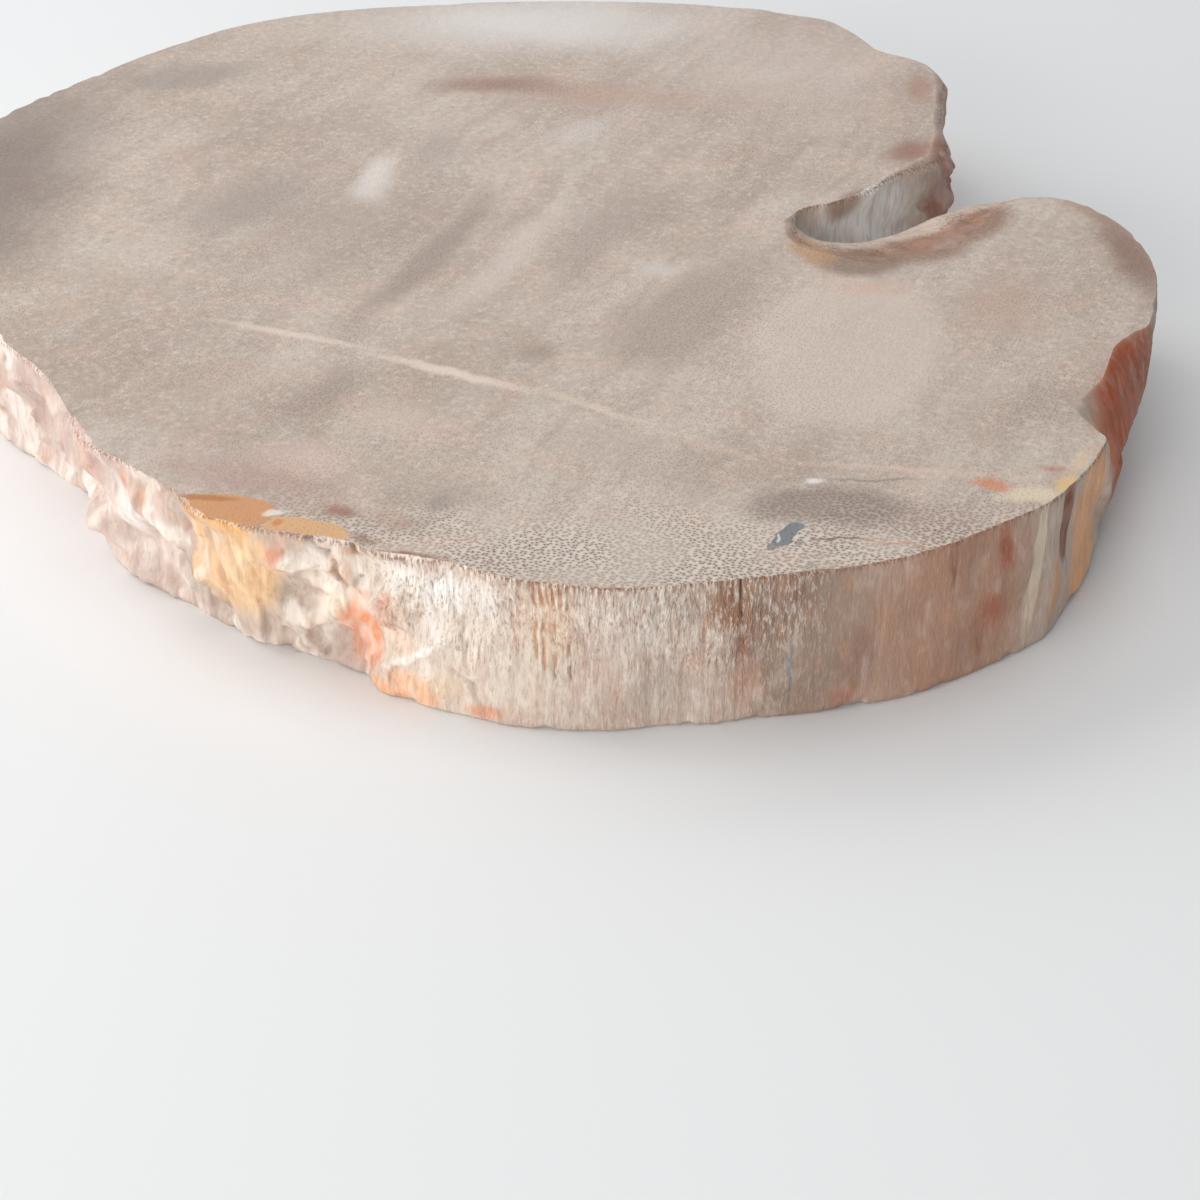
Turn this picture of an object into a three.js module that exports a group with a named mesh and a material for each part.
// A slice of petrified wood: one closed stone slab with a sawn, polished top, the trunk's natural
// skin as its wall, a bark fold running in from the back right, and edges broken by old chips.
// Millimetres, +Z up. The origin is the centre of the slab's box, on the surface it rests on.
import * as THREE from 'three';
import { mergeVertices } from 'three/addons/utils/BufferGeometryUtils.js';

// Driving dimensions: the slab's box, and how finely its wall is divided
const WIDTH = 118;
const DEPTH = 124;
const THICKNESS = 13.7;
const COLUMNS = 250;
const WALL_ROWS = 6;

// The underside's worn edge, and the depth of the wood grain's flutes
const BASE_ARRIS = 0.4;
const BASE_SETBACK = 0.35;
const FLUTE_DEPTH = 0.22;

// The rim seen from above, anticlockwise from the middle of the front edge. Each point is
// [x, y, undercut, bevel width, bevel drop, roughness]:
// undercut is how far the base lies inside the rim there, the bevel is the worn or broken
// edge between the flat top and the wall, and roughness is the height of the wall's lumps.
const RIM = [
  [7, -62, 0.1, 0.4, 0.3, 0.2],
  [12, -61.8, 0.6, 0.4, 0.3, 0.2],
  [17, -60.9, 0.2, 0.4, 0.3, 0.2],
  [26.5, -59, 0.2, 0.4, 0.3, 0.2],
  [33, -56.5, -0.1, 0.4, 0.3, 0.15],
  [39, -52.5, -0.2, 0.4, 0.3, 0.15],
  [43.5, -49, -0.1, 0.4, 0.3, 0.15],
  [47.3, -43.7, 0.4, 0.5, 0.4, 0.2],
  [49.4, -39.5, 0.5, 0.6, 0.8, 0.3],
  [51.4, -34.5, 1, 4, 5.5, 0.3],
  [53.4, -28.5, 1.6, 2.7, 6, 0.4],
  [55.2, -23.5, 2.1, 2.9, 6.5, 0.4],
  [57, -17.5, 2.3, 1, 4, 0.4],
  [58.3, -12, 2, 0.6, 1, 0.3],
  [59, -6, 1.6, 0.8, 0.6, 0.3],
  [58.4, 0, 1.4, 0.9, 0.6, 0.4],
  [56.6, 4.5, 1.4, 0.9, 0.7, 0.4],
  [53.5, 8.6, 1.2, 0.8, 0.7, 0.4],
  [49, 10.4, 1, 1.5, 0.8, 0.3],
  [44.5, 10, 0.8, 4.5, 1.1, 0.3],
  [40, 8, 0.6, 7, 1.4, 0.4],
  [36.6, 5.2, 0.5, 8.5, 1.6, 0.4],
  [32.4, 2.5, 0.4, 8, 1.6, 0.3],
  [28.6, 2, 0.3, 5, 1.3, 0.2],
  [26, 3.8, 0.2, 1.5, 0.7, 0.1],
  [26.6, 6.4, 0.2, 0.5, 0.4, 0.1],
  [30.2, 8.2, 0.4, 0.6, 0.4, 0.3],
  [33.6, 10.8, 0.7, 1, 0.6, 0.4],
  [36.2, 14.2, 0.9, 1, 0.6, 0.4],
  [41, 18.2, 1, 1.6, 1.2, 0.5],
  [43.6, 22, 1.2, 2.8, 2.4, 0.6],
  [43, 28, 1.3, 1.6, 1.4, 0.5],
  [43.2, 34, 1.4, 1.2, 0.8, 0.5],
  [44.4, 39.5, 1.4, 1.8, 1.4, 0.5],
  [42.6, 44.2, 1.4, 1.4, 1, 0.5],
  [38, 47, 1.5, 0.8, 0.6, 0.5],
  [35.6, 51.6, 1.6, 0.8, 0.6, 0.5],
  [32.6, 56, 1.6, 0.7, 0.5, 0.5],
  [25.5, 59.4, 1.5, 0.6, 0.5, 0.5],
  [17, 61.2, 1.5, 0.6, 0.4, 0.4],
  [7, 62, 1.4, 0.6, 0.4, 0.4],
  [-5, 61.8, 1.4, 0.6, 0.4, 0.4],
  [-16, 60.4, 1.5, 0.6, 0.4, 0.5],
  [-26.5, 58, 1.6, 0.7, 0.5, 0.5],
  [-34.5, 53.8, 1.8, 0.7, 0.5, 0.5],
  [-42, 46.8, 2, 0.8, 0.5, 0.6],
  [-48.8, 38.6, 2.1, 0.8, 0.5, 0.6],
  [-55, 30.4, 2.2, 0.8, 0.5, 0.6],
  [-58.2, 20, 2.3, 0.8, 0.5, 0.6],
  [-59, 10.5, 2.3, 0.8, 0.5, 0.6],
  [-57.8, 1, 2.2, 0.8, 0.6, 0.7],
  [-55, -8, 2, 0.8, 0.7, 0.8],
  [-50.4, -16, 1.8, 0.8, 0.8, 0.8],
  [-45.6, -22.6, 2.6, 0.8, 0.8, 0.9],
  [-42.2, -27, 2.8, 0.9, 0.7, 0.9],
  [-38.6, -34.6, 2.2, 0.9, 0.7, 1],
  [-36.8, -38.6, 2.3, 0.8, 0.6, 1],
  [-32, -43.4, 2.6, 0.7, 0.5, 1],
  [-28.4, -47, 2.8, 0.6, 0.4, 1],
  [-25.4, -51, 3.6, 0.6, 0.4, 0.8],
  [-20, -53.3, 3.2, 0.6, 0.4, 0.9],
  [-13.6, -55.2, 1.8, 0.9, 0.8, 1],
  [-10.4, -57.2, 0.2, 0.7, 0.6, 0.7],
  [-5, -58.3, -1.1, 0.5, 0.4, 0.4],
  [-0.8, -60.4, -0.7, 0.4, 0.4, 0.3],
];

// The rim curve and what each rim point states, blended between neighbours
const rimCurve = new THREE.CatmullRomCurve3(
  RIM.map(([x, y]) => new THREE.Vector3(x, y, 0)), true, 'centripetal');
rimCurve.arcLengthDivisions = 2000;

function rimValue(t, field) {
  const place = t * RIM.length;
  const from = Math.floor(place) % RIM.length;
  const to = (from + 1) % RIM.length;
  const blend = THREE.MathUtils.smoothstep(place - Math.floor(place), 0, 1);
  return THREE.MathUtils.lerp(RIM[from][field], RIM[to][field], blend);
}

// The wood grain's flutes run down the wall. Waves a whole number of times round the rim close
// on themselves: [waves, height, phase, turn of phase from the base to the top].
const FLUTES = [
  [23, 0.5, 0.4, 0.6],
  [41, 0.45, 2.1, -0.9],
  [67, 0.35, 4.4, 0.5],
];

// Lumps and hollows left where the skin broke away: [waves, waves down the wall, height, phase]
const LUMPS = [
  [17, 1.1, 0.6, 1.3],
  [31, -1.6, 0.5, 3.9],
  [53, 2.1, 0.3, 0.8],
];

// How far the wall stands out at a place round the rim (0 to 1) and up the wall (0 to 1)
function wallRelief(around, up, roughness) {
  let relief = 0;
  for (const [waves, height, phase, turn] of FLUTES) {
    relief += FLUTE_DEPTH * height * Math.sin(2 * Math.PI * waves * around + phase + turn * up);
  }
  for (const [waves, down, height, phase] of LUMPS) {
    relief += roughness * height * Math.sin(2 * Math.PI * (waves * around + down * up) + phase);
  }
  return relief;
}

// Inward direction at each column, averaged over its neighbours so that the rows never cross
const SMOOTHING = 9;

function inwardDirections() {
  const directions = [];
  for (let column = 0; column < COLUMNS; column += 1) {
    const inward = new THREE.Vector3();
    for (let step = -SMOOTHING; step <= SMOOTHING; step += 1) {
      const around = (column + step + COLUMNS) % COLUMNS / COLUMNS;
      const tangent = rimCurve.getTangentAt(around);
      const weight = 1 + Math.cos(Math.PI * step / (SMOOTHING + 1));
      inward.add(new THREE.Vector3(-tangent.y, tangent.x, 0).multiplyScalar(weight));
    }
    directions.push(inward.normalize());
  }
  return directions;
}

// The profile that is carried round the rim, from the flat top down to the flat underside. The
// wall's rows go from the foot of the bevel (up = 1) to just above the base, and the relief
// fades towards both edges of the wall.
function profileAt(around, inward) {
  const t = rimCurve.getUtoTmapping(around);
  const rim = rimCurve.getPoint(t);
  const [undercut, bevelWidth, bevelDrop, roughness] = [2, 3, 4, 5].map((field) => rimValue(t, field));
  const at = (inset, height) => rim.clone().addScaledVector(inward, inset).setZ(height);
  const wallHeight = THICKNESS - bevelDrop - BASE_ARRIS;
  const wall = [];
  for (let row = 0; row < WALL_ROWS; row += 1) {
    const up = 1 - row / WALL_ROWS;
    const fade = THREE.MathUtils.smoothstep(Math.min(up, 1 - up), -0.15, 0.3);
    const inset = undercut * (1 - up) - fade * wallRelief(around, up, roughness);
    wall.push(at(inset, BASE_ARRIS + up * wallHeight));
  }
  return [
    at(bevelWidth, THICKNESS),
    at(bevelWidth * 0.45, THICKNESS - bevelDrop * 0.3),
    ...wall,
    at(undercut, BASE_ARRIS),
    at(undercut + BASE_SETBACK, 0),
  ];
}

// One closed body: the profile rows as bands of triangles, and a flat face inside the first
// and the last row
function sliceGeometry() {
  const directions = inwardDirections();
  const profiles = directions.map((inward, column) => profileAt(column / COLUMNS, inward));
  const rows = profiles[0].length;
  const positions = [];
  const face = (a, b, c) => positions.push(...a, ...b, ...c);
  for (let column = 0; column < COLUMNS; column += 1) {
    const here = profiles[column];
    const next = profiles[(column + 1) % COLUMNS];
    for (let row = 0; row < rows - 1; row += 1) {
      face(here[row], here[row + 1], next[row + 1]);
      face(here[row], next[row + 1], next[row]);
    }
  }
  const cap = (row, facing) => {
    const ring = profiles.map((profile) => profile[row]);
    const flat = ring.map((point) => new THREE.Vector2(point.x, point.y));
    for (const [a, b, c] of THREE.ShapeUtils.triangulateShape(flat, [])) {
      const turn = THREE.ShapeUtils.area([flat[a], flat[b], flat[c]]);
      if (turn * facing > 0) face(ring[a], ring[b], ring[c]);
      else face(ring[a], ring[c], ring[b]);
    }
  };
  cap(0, 1);
  cap(rows - 1, -1);
  const geometry = new THREE.BufferGeometry();
  geometry.setAttribute('position', new THREE.Float32BufferAttribute(positions, 3));
  return fitToBox(mergeVertices(geometry));
}

// Set the slab to its stated width and depth, and centre its box on the origin
function fitToBox(geometry) {
  geometry.computeBoundingBox();
  const { min, max } = geometry.boundingBox;
  geometry.translate(-(min.x + max.x) / 2, -(min.y + max.y) / 2, 0);
  return geometry.scale(WIDTH / (max.x - min.x), DEPTH / (max.y - min.y), 1);
}

// Greige silica with a satin polish
const stone = new THREE.MeshStandardMaterial({ color: 0xb9a99b, roughness: 0.45, metalness: 0 });
const slice = new THREE.Mesh(sliceGeometry(), stone);
slice.name = 'wood_slice';

const part = new THREE.Group();
part.add(slice);

export default part;
